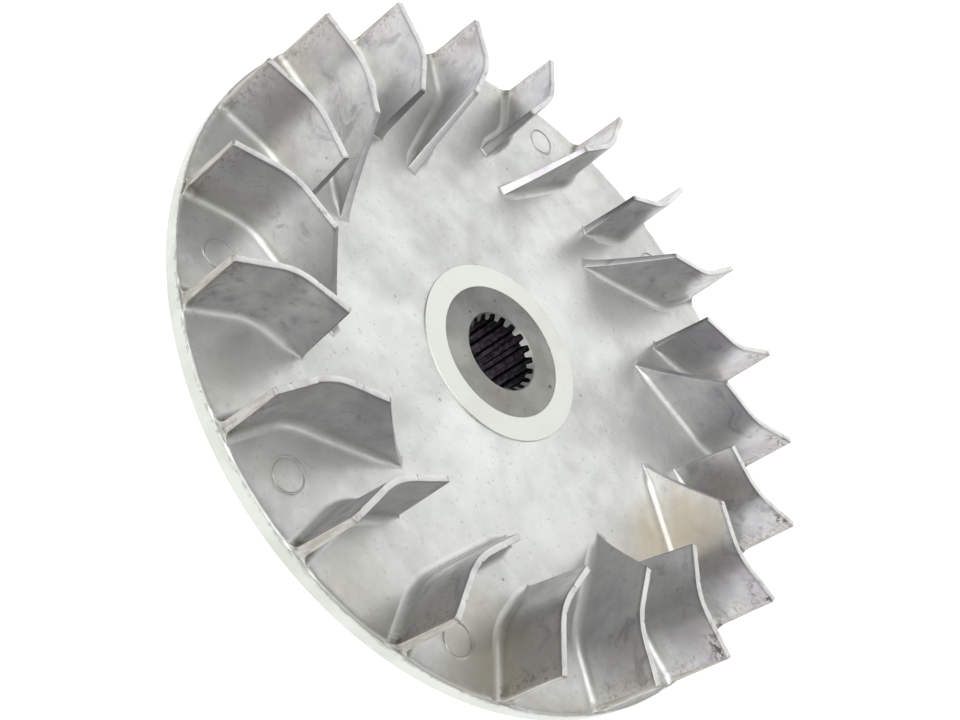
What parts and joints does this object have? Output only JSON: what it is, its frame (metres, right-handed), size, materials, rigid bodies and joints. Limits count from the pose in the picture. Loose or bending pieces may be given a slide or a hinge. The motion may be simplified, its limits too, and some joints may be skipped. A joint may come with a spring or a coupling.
{
  "type": "fan flywheel",
  "caption": "Fan flywheel of a belt drive: cast aluminium disc with bent cooling blades on one face, a conical belt face on the other, and a splined steel insert in its hub.",
  "frame": {"origin": "on the spin axis, at the hub's rear face", "axes": "+Z along the spin axis, out of the fan side; +X through the root of a long blade at the rim"},
  "size_m": [0.15, 0.15, 0.0328],
  "materials": {
    "cast_aluminium": "die-cast and tumbled, soft satin with faint stains",
    "turned_aluminium": "turned, fine concentric lines",
    "insert_steel": "ground face, dark oxide in the spline"
  },
  "bodies": {
    "root": {"plate": "cast_aluminium", "rim_band": "turned_aluminium", "hub_ring": "turned_aluminium", "spline_insert": "insert_steel", "blade_01": "cast_aluminium", "blade_02": "cast_aluminium", "blade_03": "cast_aluminium", "blade_04": "cast_aluminium", "blade_05": "cast_aluminium", "blade_06": "cast_aluminium", "blade_07": "cast_aluminium", "blade_08": "cast_aluminium", "blade_09": "cast_aluminium", "blade_10": "cast_aluminium", "blade_11": "cast_aluminium", "blade_12": "cast_aluminium", "blade_13": "cast_aluminium", "blade_14": "cast_aluminium", "blade_15": "cast_aluminium", "blade_16": "cast_aluminium", "blade_17": "cast_aluminium", "blade_18": "cast_aluminium", "blade_19": "cast_aluminium", "blade_20": "cast_aluminium"}
  },
  "joints": []
}
